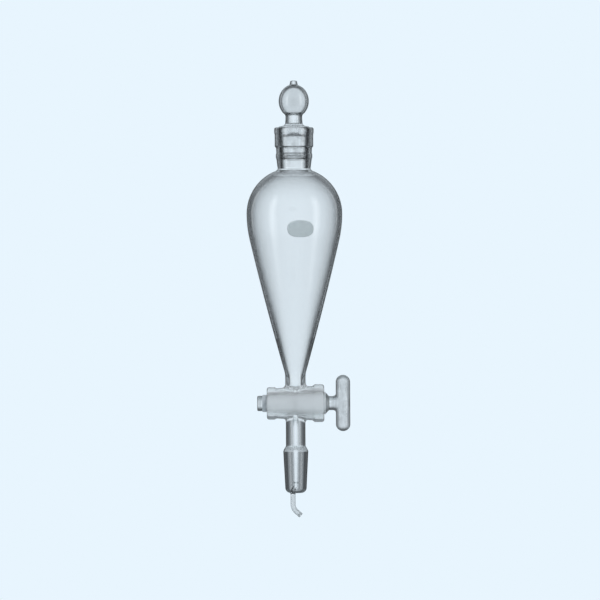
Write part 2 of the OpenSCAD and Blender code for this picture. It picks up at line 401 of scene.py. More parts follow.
def bump(nodes, links, height, distance, under=None):
    """A bumped normal. distance is the depth in metres, and under is a normal to bump further."""
    node = nodes.new("ShaderNodeBump")
    node.inputs["Distance"].default_value = distance
    links.new(height, node.inputs["Height"])
    if under is not None:
        links.new(under, node.inputs["Normal"])
    return node.outputs["Normal"]


def mix(nodes, links, operation, share, a, b):
    """A mix of two colours. share, a and b are sockets to link, or plain values."""
    node = nodes.new("ShaderNodeMix")
    node.data_type = "RGBA"
    node.blend_type = operation
    for socket, value in ((node.inputs[0], share), (node.inputs[6], a), (node.inputs[7], b)):
        if isinstance(value, (int, float)):
            socket.default_value = value
        elif isinstance(value, tuple):
            socket.default_value = (*value, 1)
        else:
            links.new(value, socket)
    return node.outputs[2]


def smooth_step(nodes, links, value, start, end, first=0.0, last=1.0):
    """first where value is under start, last where it is over end, and a smooth blend between."""
    node = nodes.new("ShaderNodeMapRange")
    node.interpolation_type = "SMOOTHSTEP"
    for socket, number in (("From Min", start), ("From Max", end), ("To Min", first), ("To Max", last)):
        node.inputs[socket].default_value = number
    links.new(value, node.inputs["Value"])
    return node.outputs["Result"]


def blend_down(nodes, links, high, low, low_z, high_z):
    """One colour above high_z, another below low_z and a smooth blend between, by height in the row frame."""
    where = nodes.new("ShaderNodeTexCoord")
    split = nodes.new("ShaderNodeSeparateXYZ")
    links.new(where.outputs["Object"], split.inputs["Vector"])
    share = smooth_step(nodes, links, split.outputs["Z"], low_z, high_z)
    return mix(nodes, links, "MIX", share, low, high)


def glass(name, shaded_tint_stops, roughness, low=None, clear=1.0, wave=0.00006, grain=0.0, streaks=0.0):
    """Borosilicate glass. shaded_tint_stops give its colour from face-on (0) to edge-on (1): the glass's own
    slight colour, and painted edge shade where they darken towards edge-on. low is the ramp that it turns
    into further down, as (stops, (lower height, upper height)). roughness is (least, most). wave is the depth
    of the glass's slow waviness and grain that of a ground surface, in metres. streaks is how much darker its
    striae are."""
    material, nodes, links, shader = new_material(name)
    shader.inputs["Transmission Weight"].default_value = clear
    shader.inputs["IOR"].default_value = IOR
    edge_on = nodes.new("ShaderNodeLayerWeight")
    edge_on.inputs["Blend"].default_value = 0.5
    # painted edge shade: the colour darkens as the surface turns edge-on, for the dark room that the glass
    # bends and mirrors
    shaded_tint = ramp(nodes, links, edge_on.outputs["Facing"], shaded_tint_stops)
    if low:
        low_stops, heights = low
        low_shaded_tint = ramp(nodes, links, edge_on.outputs["Facing"], low_stops)
        shaded_tint = blend_down(nodes, links, shaded_tint, low_shaded_tint, *heights)
    if streaks:
        striae = noise(nodes, links, scale=260.0, stretch=DRAWN)
        shade = ramp(nodes, links, striae, [(0.35, 1 - streaks), (0.65, 1.0)])
        shaded_tint = mix(nodes, links, "MULTIPLY", 1.0, shaded_tint, shade)
    links.new(shaded_tint, shader.inputs["Base Color"])
    haze = noise(nodes, links, scale=60.0, detail=4.0)
    least, most = roughness
    links.new(ramp(nodes, links, haze, [(0.35, least), (0.75, most)]), shader.inputs["Roughness"])
    normal = bump(nodes, links, noise(nodes, links, scale=28.0, detail=1.0, stretch=DRAWN), wave)
    if grain:
        normal = bump(nodes, links, noise(nodes, links, scale=2500.0, detail=2.0), grain, normal)
    links.new(normal, shader.inputs["Normal"])
    return material


# heights in the row frame between which a glass turns from one colour ramp into another, in metres
LOWER_BULB_Z = (0.075, 0.19)   # the lower bulb, where the painted edge shade darkens downwards
OUTLET_Z = (0.062, 0.082)       # the bulb's turn into the outlet tube
SHOULDER_Z = tuple(AXIS_Z + (RIM_Z + above_rim) * MM for above_rim in (1.0, 5.0))   # the stopper's shoulder

# the colour of each glass, as (how edge-on the surface is, colour)
# the darkening towards edge-on is painted edge shade: it stands in for the dark room that the glass bends and
# mirrors at its edges, with a little of the glass's own absorption
CLEAR_SHADED_TINT = [(0.0, 0.95), (0.15, 0.90), (0.22, 0.86), (0.4, 0.67), (0.6, 0.28), (0.7, 0.04), (1.0, 0.015)]
LOWER_BULB_SHADED_TINT = [(0.0, 0.95), (0.1, 0.91), (0.2, 0.82), (0.3, 0.66), (0.4, 0.34), (0.48, 0.06), (0.6, 0.01),
              (1.0, 0.005)]
# painted shade: dark bands partway to edge-on, lighter again at the very edge
NECK_SHADED_TINT = [(0.0, 0.97), (0.1, 0.90), (0.18, 0.62), (0.25, 0.12), (0.35, 0.02), (0.44, 0.05), (0.6, 0.18),
             (1.0, 0.22)]
LIP_SHADED_TINT = [(0.0, 0.95), (0.3, 0.90), (0.7, 0.70), (0.86, 0.25), (1.0, 0.03)]
JOINT_SHADED_TINT = [(0.0, 0.98), (0.25, 0.93), (0.4, 0.55), (0.55, 0.10), (0.75, 0.02), (1.0, 0.01)]
PLAIN_TINT = [(0.0, 0.97), (1.0, 0.94)]
# painted shade: the ball's middle darker face-on than around it, besides its dark edges
BALL_SHADED_TINT = [(0.0, 0.66), (0.03, 0.71), (0.12, 0.77), (0.3, 0.75), (0.42, 0.55), (0.5, 0.22), (0.6, 0.03),
             (1.0, 0.005)]
VOID_SHADED_TINT = [(0.0, 0.97), (0.3, 0.93), (0.45, 0.75), (0.58, 0.20), (0.7, 0.03), (1.0, 0.01)]
GRIP_SHADED_TINT = [(0.0, 0.97), (0.05, 0.85), (0.1, 0.60), (0.2, 0.25), (0.35, 0.07), (1.0, 0.02)]
BARREL_SHADED_TINT = [(0.0, 0.96), (0.35, 0.92), (0.6, 0.62), (0.8, 0.30), (1.0, 0.15)]
MILKY_TINT = [(0.0, 0.98), (0.6, 0.96), (1.0, 0.85)]
PLUG_SHADED_TINT = [(0.0, 0.86), (0.13, 0.70), (0.36, 0.24), (0.6, 0.08), (1.0, 0.03)]
ROD_SHADED_TINT = [(0.0, 0.97), (0.02, 0.72), (0.05, 0.48), (0.1, 0.30), (0.2, 0.17), (0.3, 0.085), (0.45, 0.04),
            (1.0, 0.02)]
SHOULDER_SHADED_TINT = [(0.0, 0.9), (0.3, 0.62), (1.0, 0.25)]
CONE_SHADED_TINT = [(0.0, 0.97), (0.006, 0.90), (0.02, 0.31), (0.2, 0.27), (0.27, 0.03), (1.0, 0.02)]
# painted shade: the drip tube greyer all over, darkest edge-on
TIP_SHADED_TINT = [(0.0, 0.74), (0.3, 0.52), (1.0, 0.30)]

BLOWN = (0.0, 0.015)            # roughness of blown glass, and of worked or pressed glass
WORKED = (0.0, 0.02)

# one borosilicate glass, with each part of the funnel, stopper and plug given its own painted edge shade
clear_glass = glass("clear_glass", CLEAR_SHADED_TINT, BLOWN, low=(LOWER_BULB_SHADED_TINT, LOWER_BULB_Z))
outlet_glass = glass("outlet_glass", LOWER_BULB_SHADED_TINT, BLOWN, low=(NECK_SHADED_TINT, OUTLET_Z))
neck_glass = glass("neck_glass", NECK_SHADED_TINT, BLOWN)
lip_glass = glass("lip_glass", LIP_SHADED_TINT, BLOWN)
inner_glass = glass("inner_glass", JOINT_SHADED_TINT, BLOWN)
bore_glass = glass("bore_glass", PLAIN_TINT, BLOWN)
ball_glass = glass("ball_glass", BALL_SHADED_TINT, BLOWN)
void_glass = glass("void_glass", VOID_SHADED_TINT, BLOWN)
grip_glass = glass("grip_glass", GRIP_SHADED_TINT, WORKED, low=(LIP_SHADED_TINT, SHOULDER_Z))
rod_glass = glass("rod_glass", ROD_SHADED_TINT, WORKED)
shoulder_glass = glass("shoulder_glass", SHOULDER_SHADED_TINT, WORKED)
tip_glass = glass("tip_glass", TIP_SHADED_TINT, WORKED)
plug_clear_glass = glass("plug_clear_glass", PLUG_SHADED_TINT, WORKED, streaks=0.35)
joint_glass = glass("ground_joint", JOINT_SHADED_TINT, (0.08, 0.16), grain=0.000004, streaks=0.15)
cone_glass = glass("ground_cone", CONE_SHADED_TINT, (0.04, 0.08), grain=0.0000015)
barrel_glass = glass("barrel_glass", BARREL_SHADED_TINT, (0.1, 0.2), clear=0.8, grain=0.000002)
milky_glass = glass("ground_stopcock", MILKY_TINT, (0.3, 0.4), clear=0.85, wave=0.00001, grain=0.000006)


def coat(name, colours, roughness, cloud, grain):
    """A material whose colour and roughness wander between two values each. cloud is the noise's (scale,
    detail), and grain its (scale, depth in metres)."""
    material, nodes, links, shader = new_material(name)
    wander = noise(nodes, links, *cloud)
    ends = (0.3, 0.7)
    links.new(ramp(nodes, links, wander, list(zip(ends, colours))), shader.inputs["Base Color"])
    links.new(ramp(nodes, links, wander, list(zip(ends, roughness))), shader.inputs["Roughness"])
    grain_scale, depth = grain
    links.new(bump(nodes, links, noise(nodes, links, grain_scale), depth), shader.inputs["Normal"])
    return material, shader


def enamel_material():
    """Fired pale grey enamel with a slightly uneven coat, which lets some light through."""
    material, shader = coat("marking_enamel", ((0.64, 0.68, 0.685), (0.72, 0.76, 0.76)), (0.45, 0.6),
                            cloud=(260.0, 4.0), grain=(1800.0, 0.00002))
    shader.inputs["Transmission Weight"].default_value = 0.6
    return material


def rubber_material():
    """Matte grey silicone rubber with a fine moulded grain."""
    material, shader = coat("ring_rubber", ((0.36, 0.38, 0.40), (0.44, 0.46, 0.48)), (0.5, 0.68),
                            cloud=(500.0, 3.0), grain=(3500.0, 0.00003))
    shader.inputs["Sheen Weight"].default_value = 0.2
    return material


# -------------------------------------------- the funnel's blown body

CLEAR, JOINT, MILKY, ROD, CONE, NECK, TIP, INNER, BORE, SHOULDER, BARREL, LIP, OUTLET = range(13)
FUNNEL_MATERIALS = [clear_glass, joint_glass, milky_glass, rod_glass, cone_glass, neck_glass, tip_glass,
                    inner_glass, bore_glass, shoulder_glass, barrel_glass, lip_glass, outlet_glass]
BODY_X = (-16.0, 15.0)          # the barrel's body, between its two beads
BODY_TAPER = 0.055              # of the barrel's outside
STEM_FIRST_Z = -24              # the stem's first ring below the barrel
TIP_FLOW = 0.9                  # how far the glass flows out at the drip tube's root


def barrel_r(x):
    return 15.5 + BODY_TAPER * x


def barrel_bore_r(x):
    return plug_ground_r(x) + GAP


def upright_joint(skin, side, r, flare, drop):
    """The flowed joint of an upright tube with the barrel: from drop above its surface to a loop on it that
    is wider by flare. Returns (tube's ring, loop)."""
    tube, loop, tube_along, loop_along = [], [], [], []
    for a in turns():
        c, s = math.cos(a), math.sin(a)
        tube.append((r * c, r * s, side * (math.sqrt(barrel_r(r * c) ** 2 - (r * s) ** 2) + drop)))
        wide = r + flare
        z = math.sqrt(barrel_r(wide * c) ** 2 - (wide * s) ** 2)
        rise = side * (barrel_r(wide * c) * BODY_TAPER * c - wide * s * s) / z
        loop.append((wide * c, wide * s, side * z))
        tube_along.append((0, 0, -side))
        loop_along.append(tuple(Vector((c, s, rise)).normalized()))
    return flowing_joint(skin, tube, tube_along, loop, loop_along, BARREL)


def barrel(skin):
    """The barrel: its outside with two flowed joints, its ground bore with two holes, and its beaded ends.
    Returns the rings of the upper tube, the lower tube, the upper hole and the lower hole."""
    top_flare, top_drop = 3.6, 3.6
    low_flare, low_drop = 2.6, 3.2
    top_tube, top_loop = upright_joint(skin, 1, OUTLET_R, top_flare, top_drop)
    low_tube, low_loop = upright_joint(skin, -1, STEM_R, low_flare, low_drop)
    joints = [(1, OUTLET_R + top_flare, top_loop), (-1, STEM_R + low_flare, low_loop)]
    out_left, out_right = sleeve(skin, *BODY_X, barrel_r, joints, BARREL, 24)
    top_hole = skin.add(upright_loop(COCK_BORE_R, 1, barrel_bore_r))
    low_hole = skin.add(upright_loop(COCK_BORE_R, -1, barrel_bore_r))
    mouth = BARREL_X - 1.0
    holes = [(1, COCK_BORE_R, top_hole), (-1, COCK_BORE_R, low_hole)]
    in_left, in_right = sleeve(skin, -mouth, mouth, barrel_bore_r, holes, MILKY, 30)
    left_bead_r, right_bead_r, edge = 15.55, 18.1, 0.35
    left = rounded([(BODY_X[0], barrel_r(BODY_X[0]), 0), (-18.0, 14.5, 2.5), (-20.2, left_bead_r, 3),
                    (-BARREL_X, left_bead_r, 2.2), (-BARREL_X, barrel_bore_r(-BARREL_X), edge),
                    (-mouth, barrel_bore_r(-mouth), 0)])
    right = rounded([(BODY_X[1], barrel_r(BODY_X[1]), 0), (16.4, barrel_r(16.4), 2.5),
                     (18.4, right_bead_r, 2.2), (BARREL_X, right_bead_r, 2.4),
                     (BARREL_X, barrel_bore_r(BARREL_X), edge), (mouth, barrel_bore_r(mouth), 0)])
    for outline, outer, inner in ((left, out_left, in_left), (right, out_right, in_right)):
        rings = [outer] + [skin.add(ring_x(x, r)) for x, r in outline[1:-1]] + [inner]
        skin.bands(rings, BARREL)
    return top_tube, low_tube, top_hole, low_hole


def neck_outline():
    """From the ground zone's top, over the rim and down the outside of the neck, as (radius, height)."""
    rim_r, collar_r = 18.95, 18.5
    corners = [(SOCKET_R + GAP, -1.0, 0), (15.4, 0, 0.5), (rim_r, 0, 2.3), (rim_r, -4.9, 2),
               (collar_r, -6.6, 2), (collar_r, -18.3, 1.9), (17.3, -19.3, 0.8), (17.0, -24.4, 1.5),
               (17.55, -26.1, 0.8), (17.5, -28.7, 0.8), (16.9, -30.6, 1.5), (16.35, -35.1, 8),
               (NECK_R, -38.7, 0)]
    return [(r, RIM_Z + below_rim) for r, below_rim in rounded(corners)]


def vessel(skin, hole, tube):
    """Up the inside of the outlet and the bulb, over the rim and down the outside: from the barrel's upper
    hole to the upper tube's ring."""
    bowl_z = BULB_LOW.z - 1.4
    bowl = arc(0, bowl_z, OUTLET_BORE_R, -math.degrees(math.acos(COCK_BORE_R / OUTLET_BORE_R)), 0, 12)
    inside = bulb_side(WALL, NECK_BORE_R, OUTLET_BORE_R, bowl_z + 0.5)[::-1]
    socket = [(NECK_BORE_R, SOCKET_TOP_Z - SOCKET_LEN - 0.6)]
    socket += [(socket_ground_r(z) + GAP, z)
               for z in np.linspace(SOCKET_TOP_Z - SOCKET_LEN, SOCKET_TOP_Z - 0.6, 9)]
    outside = bulb_side(0, NECK_R, OUTLET_R, BULB_LOW.z + 3)

    # the rings of a wall, counted from its neck, where the neck's look and the lip's end, and how many rings
    # at its other end have the outlet's look
    neck_in, lip_in = 2, 15
    neck_out, lip_out, outlet_out = 5, 14, 14
    # each zone takes a glass with its own painted edge shade: lighter on the lip and the dome's inside by the
    # neck, darker on the neck and the outlet
    walls = ((bowl, BORE), (inside[:-lip_in], CLEAR), (inside[-lip_in:-neck_in], BORE),
             (inside[-neck_in:], INNER), (socket, JOINT), (neck_outline()[:-1] + outside[:neck_out], NECK),
             (outside[neck_out:lip_out], LIP), (outside[lip_out:-outlet_out], CLEAR),
             (outside[-outlet_out:], OUTLET))
    rings, zones = [hole], []
    for outline, zone in walls:
        rings += [skin.add(ring_z(r, z)) for r, z in outline]
        zones += [zone] * len(outline)
    rings.append(tube)
    zones.append(OUTLET)
    skin.bands(rings, lambda i: zones[i])


def stem_and_cone(skin, tube):
    """Down the outside of the stem and the ground cone. Returns the last ring of the cone's rounded end."""
    shoulder = rounded([(STEM_R, STEM_FIRST_Z, 0), (STEM_R, STEM_LOW.z, 2),
                        (CONE_R - 0.7, CONE_TOP_Z + 1.8, 1.2), (CONE_R, CONE_TOP_Z, 0.6),
                        (CONE_END_R, CONE_END_Z + CONE_FILLET, 0)])[:-1]
    rings = [tube] + [skin.add(ring_z(r, z)) for r, z in shoulder]
    shoulder_z = STEM_LOW.z + 0.5
    skin.bands(rings, lambda i: SHOULDER if skin.points[rings[i + 1][0]][2] < shoulder_z else ROD)

    first_z = CONE_TOP_Z - 0.4
    ground = [(CONE_R - TAPER * (CONE_LEN - CONE_FILLET) * t, first_z - (CONE_LEN - CONE_FILLET - 0.4) * t)
              for t in (0.25, 0.5, 0.75)]
    end = arc(CONE_END_R - CONE_FILLET, CONE_END_Z + CONE_FILLET, CONE_FILLET, 0, -75, 12)
    rings = [rings[-1]] + [skin.add(ring_z(r, z)) for r, z in ground + end]
    skin.bands(rings, CONE)
    return rings[-1]


def cone_end_z(x, y):
    """Height of the outlet cone's end, which is flat with a rounded edge."""
    out = math.hypot(x, y) - (CONE_END_R - CONE_FILLET)
    return CONE_END_Z + (CONE_FILLET - math.sqrt(CONE_FILLET ** 2 - out * out) if out > 0 else 0)


def cone_end(skin, cone_ring, tip_loop):
    """The cone's end, between its last ring and the loop where the drip tube's glass begins."""
    hole_r, clearance, exact = TIP_R + TIP_FLOW, 0.3, 0.001
    flat, index = [], []
    for i in cone_ring + tip_loop:
        flat.append(skin.points[i][:2])
        index.append(i)
    for r in (5.9, 5.2, 4.2, 3.0, 1.8, 0.9):        # points between the two, so that the faces are even
        for a in turns(24):
            x, y = r * math.cos(a), r * math.sin(a)
            if math.hypot(x + TIP_OFFSET, y) > hole_r + clearance:
                flat.append((x, y))
                index += skin.add([(x, y, cone_end_z(x, y))])
    edges = [(i, (i + 1) % AROUND) for i in range(AROUND)]
    edges += [(AROUND + i, AROUND + (i + 1) % AROUND) for i in range(AROUND)]
    skin.patch(flat, index, edges, lambda x, y: math.hypot(x + TIP_OFFSET, y) > hole_r - exact, ROD)


def drip_path():
    """The drip tube's centreline as ((x, z), (direction)): aside inside the cone, down, and bent to +X."""
    drop = 9.0
    swing = 2 * math.degrees(math.atan2(TIP_OFFSET, drop))
    swing_r = drop / 2 / math.sin(math.radians(swing))
    points = arc(-swing_r, CONE_END_Z + drop, swing_r, 0, -swing, 8)
    points += arc(swing_r - TIP_OFFSET, CONE_END_Z, swing_r, 180 - swing, 180, 8)[1:]
    points += [(-TIP_OFFSET, CONE_END_Z - TIP_STRAIGHT * t) for t in (0.1, 0.5)]
    points += arc(TIP_BEND_R - TIP_OFFSET, CONE_END_Z - TIP_STRAIGHT, TIP_BEND_R, 180, 180 + TIP_BEND, 14)
    last = np.array((math.sin(math.radians(TIP_BEND)), -math.cos(math.radians(TIP_BEND))))
    end = np.array(points[-1])
    points += [tuple(end + last * TIP_LAST * t) for t in (0.5, 0.94, 1.0)]
    path = [(points[0], (0.0, -1.0))]
    for i, p in enumerate(points[1:], 1):
        ahead = np.array(points[min(i + 1, len(points) - 1)]) - np.array(points[i - 1])
        path.append((p, tuple(ahead / np.linalg.norm(ahead))))
    return path


def drip_tube(skin, cone_ring, hole):
    """The cone's end, the drip tube out of it, and its bore back up to the barrel's lower hole."""
    root_z = CONE_END_Z - TIP_FLOW
    step = 0.1
    tube, loop, loop_along = [], [], []
    for a in turns():
        c, s = math.cos(a), math.sin(a)
        x, y = -TIP_OFFSET + (TIP_R + TIP_FLOW) * c, (TIP_R + TIP_FLOW) * s
        tube.append((-TIP_OFFSET + TIP_R * c, TIP_R * s, root_z - 0.3))
        loop.append((x, y, cone_end_z(x, y)))
        rise = cone_end_z(x, y) - cone_end_z(x - step * c, y - step * s)
        loop_along.append(tuple(Vector((step * c, step * s, rise)).normalized()))
    root, tip_loop = flowing_joint(skin, tube, [(0, 0, 1)] * AROUND, loop, loop_along, ROD)
    cone_end(skin, cone_ring, tip_loop)

    path = drip_path()
    outer = [(p, t) for p, t in path if p[1] < root_z - 0.8]
    rings = [root] + [skin.add(ring_on_path(p, t, TIP_R)) for p, t in outer[:-1]]
    (tip_x, tip_z), tip_along = outer[-1]
    fire_polished_lip = [(TIP_R + 0.1, -0.35), (TIP_R - 0.05, -0.08), (TIP_R - 0.3, 0.0),
                         (TIP_BORE_R + 0.25, 0.0), (TIP_BORE_R + 0.05, -0.12)]
    for r, along in fire_polished_lip:
        centre = (tip_x + tip_along[0] * along, tip_z + tip_along[1] * along)
        rings.append(skin.add(ring_on_path(centre, tip_along, r)))
    outer_rings = len(rings)
    rings += [skin.add(ring_on_path(p, t, TIP_BORE_R)) for p, t in path[::-1][1:]]
    top_z = path[0][0][1]
    widening = [(1.5, top_z + 0.6), (1.85, top_z + 1.5), (COCK_BORE_R, top_z + 2.6)]
    rings += [skin.add(ring_z(r, z))
              for r, z in widening + [(COCK_BORE_R, CONE_TOP_Z), (COCK_BORE_R, STEM_FIRST_Z)]]
    rings.append(hole)
    skin.bands(rings, lambda i: TIP if i <= outer_rings else BORE)


def funnel_glass():
    """The funnel as one skin, inside and out."""
    skin = Skin()
    top_tube, low_tube, top_hole, low_hole = barrel(skin)
    vessel(skin, top_hole, top_tube)
    cone_ring = stem_and_cone(skin, low_tube)
    drip_tube(skin, cone_ring, low_hole)
    return skin


# -------------------------------------------- the stopper

BALL, GROUND, GRIP, VOID, VOID_BORE, EDGE = range(6)
STOPPER_MATERIALS = [ball_glass, joint_glass, grip_glass, void_glass, bore_glass, neck_glass]
ON_AXIS_R = 0.02                # the last ring before a point on the axis


def ball_side(r, half_h, start, end, steps):
    """One side of the knob's ball, as (radius, height), from start to end degrees from its bottom."""
    return [(r * math.sin(a), BALL_Z - half_h * math.cos(a))
            for a in np.radians(np.linspace(start, end, steps + 1))]


def sharp(points):
    """Outline points as sharp corners for rounded()."""
    return [(r, z, 0) for r, z in points]


def stopper_outside(skin):
    """From the flat end's middle up over the ground cone, the shoulder, the grip, the ball and the nib."""
    end_r, chamfer_z = socket_ground_r(STOPPER_END_Z), STOPPER_END_Z + 1.6
    low = math.degrees(math.asin(GRIP_R / BALL_R))
    shoulder_r = socket_ground_r(RIM_Z - 0.4)
    bottom = rounded([(ON_AXIS_R, STOPPER_END_Z, 0), (end_r - 0.4, STOPPER_END_Z, 1.1),
                      (socket_ground_r(chamfer_z), chamfer_z, 0)])
    ground = [(socket_ground_r(z), z) for z in np.linspace(chamfer_z, RIM_Z - 0.8, 9)][1:]
    grip = rounded([(shoulder_r, RIM_Z - 0.8, 0), (shoulder_r, RIM_Z + 0.8, 1.2),
                    (GRIP_R + 0.6, RIM_Z + 1.9, 3.4), (GRIP_R, RIM_Z + 7.5, 5),
                    (GRIP_R, BALL_Z - BALL_HALF_H * math.cos(math.radians(low)), 3.2),
                    *sharp(ball_side(BALL_R, BALL_HALF_H, low + 14, low + 14.1, 1))])[1:-2]
    ball = ball_side(BALL_R, BALL_HALF_H, low + 12, 163, 34)
    ball_top_z = BALL_Z + BALL_HALF_H
    nib = rounded([(*ball[-1], 0), (4.0, ball_top_z - 0.4, 1.0), (3.5, ball_top_z + 1.6, 1.0),
                   (3.2, KNOB_TOP_Z, 1.5), (ON_AXIS_R, KNOB_TOP_Z, 0)])[1:]
    zones = [EDGE] * (len(bottom) - 1)
    zones += [GROUND] * len(ground)
    zones += [GRIP] * (len(grip) + 1)
    zones += [BALL] * len(ball)
    zones += [GRIP] * len(nib)
    rings = [skin.add(ring_z(r, z)) for r, z in bottom + ground + grip + ball + nib]
    skin.bands(rings, lambda i: zones[i])
    skin.cap(rings[0], (0, 0, STOPPER_END_Z), BALL)
    skin.cap(rings[-1], (0, 0, KNOB_TOP_Z), BALL)


def stopper_void(skin):
    """The sealed hollow: a wide part in the cone, a narrow one in the grip and a round one in the ball."""
    bottom_r, bottom_z = socket_ground_r(STOPPER_END_Z) - WALL, STOPPER_END_Z + 2.6
    ceiling_z, bore_low_z, bore_high_z = RIM_Z - 7.8, RIM_Z - 5.0, BALL_Z - 13.4
    r, half_h = BALL_R - WALL, BALL_HALF_H - WALL
    low = math.degrees(math.asin(GRIP_BORE_R / r))
    outline = rounded([(ON_AXIS_R, bottom_z, 0), (bottom_r, bottom_z + 0.3, 1.8),
                       (socket_ground_r(ceiling_z) - 1.6, ceiling_z, 1.0), (GRIP_BORE_R, bore_low_z, 1.6),
                       (GRIP_BORE_R, bore_high_z, 2.0),
                       *sharp(ball_side(r, half_h, low + 10, low + 10.1, 1))])[:-1]
    outline += ball_side(r, half_h, low + 12, 179.8, 30)
    in_grip = [i for i, (_, z) in enumerate(outline) if bore_low_z - 0.2 < z < bore_high_z]

    def zone(i):
        if in_grip[0] <= i <= in_grip[-1]:
            return VOID_BORE
        return EDGE if abs(outline[i][1] - ceiling_z) < 0.9 else VOID

    rings = [skin.add(ring_z(r, z)) for r, z in outline]
    skin.bands(rings, zone)
    skin.cap(rings[0], (0, 0, outline[0][1]), VOID)
    skin.cap(rings[-1], (0, 0, outline[-1][1]), VOID)


def stopper_glass():
    """The stopper's skin and the numbers of the faces around its sealed hollow."""
    skin = Skin()
    stopper_outside(skin)
    outside_faces = len(skin.faces)
    stopper_void(skin)
    return skin, range(outside_faces, len(skin.faces))


# -------------------------------------------- the plug and its handle

PLUG_CLEAR, PLUG_GROUND = range(2)
GROOVE_R = RING_R - 0.95                # the plug under its ring
GROUND_START_X = RING_HIGH.x + 0.25
GROUND_END_X = BARREL_X + 1.0
HANDLE_FOOT = 7.2                       # from the plug's node to the handle's near side
HANDLE_SCALE = 4.0                      # half the handle's thickness, which turns its field into mm
PLUG_OUTLINE = [(PLUG_LOW.x - 2, GROOVE_R), (RING_HIGH.x, GROOVE_R),
                (GROUND_START_X, plug_ground_r(GROUND_START_X)), (GROUND_END_X, plug_ground_r(GROUND_END_X)),
                (BARREL_X + 2.8, 8.6), (PLUG_HIGH.x + 0.6, 6.8), (PLUG_HIGH.x + 4.2, 6.7),
                (PLUG_HIGH.x + 12, 7.4)]


def smooth_min(a, b, k):
    """The lesser of a and b, blended over the width k."""
    h = np.clip(0.5 + 0.5 * (b - a) / k, 0, 1)
    return b + (a - b) * h - k * h * (1 - h)


def plug_field(x, y, z):
    """Below zero inside the glass of the plug and its handle, and roughly the distance to its surface."""
    outline_x, outline_r = zip(*PLUG_OUTLINE)
    mid_x = (HANDLE_HIGH.x + PLUG_HIGH.x + HANDLE_FOOT) / 2
    half_w, half_t, half_h = HANDLE_HIGH.x - mid_x, HANDLE_HIGH.y, HANDLE_HIGH.z
    body = np.hypot(y, z) - np.interp(x, outline_x, outline_r)
    body = -smooth_min(-body, x - PLUG_LOW.x, 1.4)
    body = -smooth_min(-body, mid_x + 0.5 - x, 3.0)
    across = np.hypot(x - mid_x, np.maximum(np.abs(z) - (half_h - half_w), 0)) / half_w
    handle = (((y / half_t) ** 2 + across ** 2.2 + 1e-9) ** 0.5 - 1) * HANDLE_SCALE
    solid = smooth_min(body, handle, 2.2)
    return -smooth_min(-solid, np.hypot(x, y) - COCK_BORE_R, 0.3)


def plug_glass():
    """The plug as one skin of its field, meshed on a grid and then moved onto the exact surface."""
    step, margin, far = 0.5, 2, 10.0
    low = np.array((PLUG_LOW.x - margin, -PLUG_HIGH.z - margin, HANDLE_LOW.z - margin))
    high = np.array((HANDLE_HIGH.x + margin, PLUG_HIGH.z + margin, HANDLE_HIGH.z + margin))
    counts = np.ceil((high - low) / step).astype(int) + 1
    axes = [low[i] + step * np.arange(counts[i]) for i in range(3)]
    values = plug_field(*np.meshgrid(*axes, indexing="ij")).astype(np.float32)
    grid = openvdb.FloatGrid()
    grid.background = far
    grid.copyFromArray(np.clip(values, -far, far))
    points, triangles, quads = grid.convertToPolygons(isovalue=0.0, adaptivity=0.0)
    points = points.astype(float) * step + low

    nudge, longest_move = 0.01, 0.3
    for _ in range(4):
        value = plug_field(*points.T)
        slope = np.empty_like(points)
        for i, way in enumerate(nudge * np.eye(3)):
            slope[:, i] = (plug_field(*(points + way).T) - plug_field(*(points - way).T)) / (2 * nudge)
        move = value[:, None] * slope / np.maximum((slope ** 2).sum(1), 1e-4)[:, None]
        points -= np.clip(move, -longest_move, longest_move)

    skin = Skin()
    skin.add(points)
    for face in [*triangles.tolist(), *quads.tolist()]:
        x = sum(points[i][0] for i in face) / len(face)
        skin.faces.append(tuple(face))
        skin.zones.append(PLUG_GROUND if RING_HIGH.x < x < GROUND_END_X + 0.5 else PLUG_CLEAR)
    return skin


# -------------------------------------------- ring and marking patch

def ring_skin():
    """The soft retaining ring: a rounded band with a slight crown."""
    skin = Skin()
    x0, x1 = RING_LOW.x, RING_HIGH.x
    inner, edge, middle = RING_R - 0.9, RING_R - 0.1, (x0 + x1) / 2
    outline = rounded([(middle, inner, 0), (x1, inner, 0.15), (x1, edge, 0.4), (middle, RING_R, 6),
                       (x0, edge, 0.4), (x0, inner, 0.15), (middle - 0.1, inner, 0)])
    rings = [skin.add(ring_x(x, r)) for x, r in outline]
    skin.bands(rings + [rings[0]])
    return skin


def patch_skin():
    """The write-on patch: a thin oval coat of enamel on the bulb's front, with a back and a front sheet."""
    skin = Skin()
    centre_x, centre_z, half_w, half_h = 5.9, 166.5, 12.7, 7.9     # round the bulb, and up
    back_lift, rim_lift, front_lift = 0.02, 0.04, 0.10      # off the bulb
    squareness = 2.5                                        # the exponent of the oval's superellipse
    side = bulb_side(0, NECK_R, OUTLET_R, BULB_LOW.z)[::-1]
    heights, radii = [z for _, z in side], [r for r, _ in side]

    def on_bulb(across, up, lift):
        z = centre_z + up
        r = float(np.interp(z, heights, radii)) + lift
        angle = -math.pi / 2 + (centre_x + across) / r
        return (r * math.cos(angle), r * math.sin(angle), z)

    def oval(size, lift):
        points = []
        for a in turns(72):
            c, s = math.cos(a), math.sin(a)
            reach = (abs(c) ** squareness + abs(s) ** squareness) ** (-1 / squareness) * size
            points.append(on_bulb(half_w * reach * c, half_h * reach * s, lift))
        return points

    rim = skin.add(oval(1.0, rim_lift))
    for lift in (back_lift, front_lift):
        rings = [rim] + [skin.add(oval(size, lift)) for size in (0.97, 0.8, 0.6, 0.4, 0.2, 0.05)]
        skin.bands(rings)
        skin.cap(rings[-1], on_bulb(0, 0, lift))
    return skin


# -------------------------------------------- the pieces

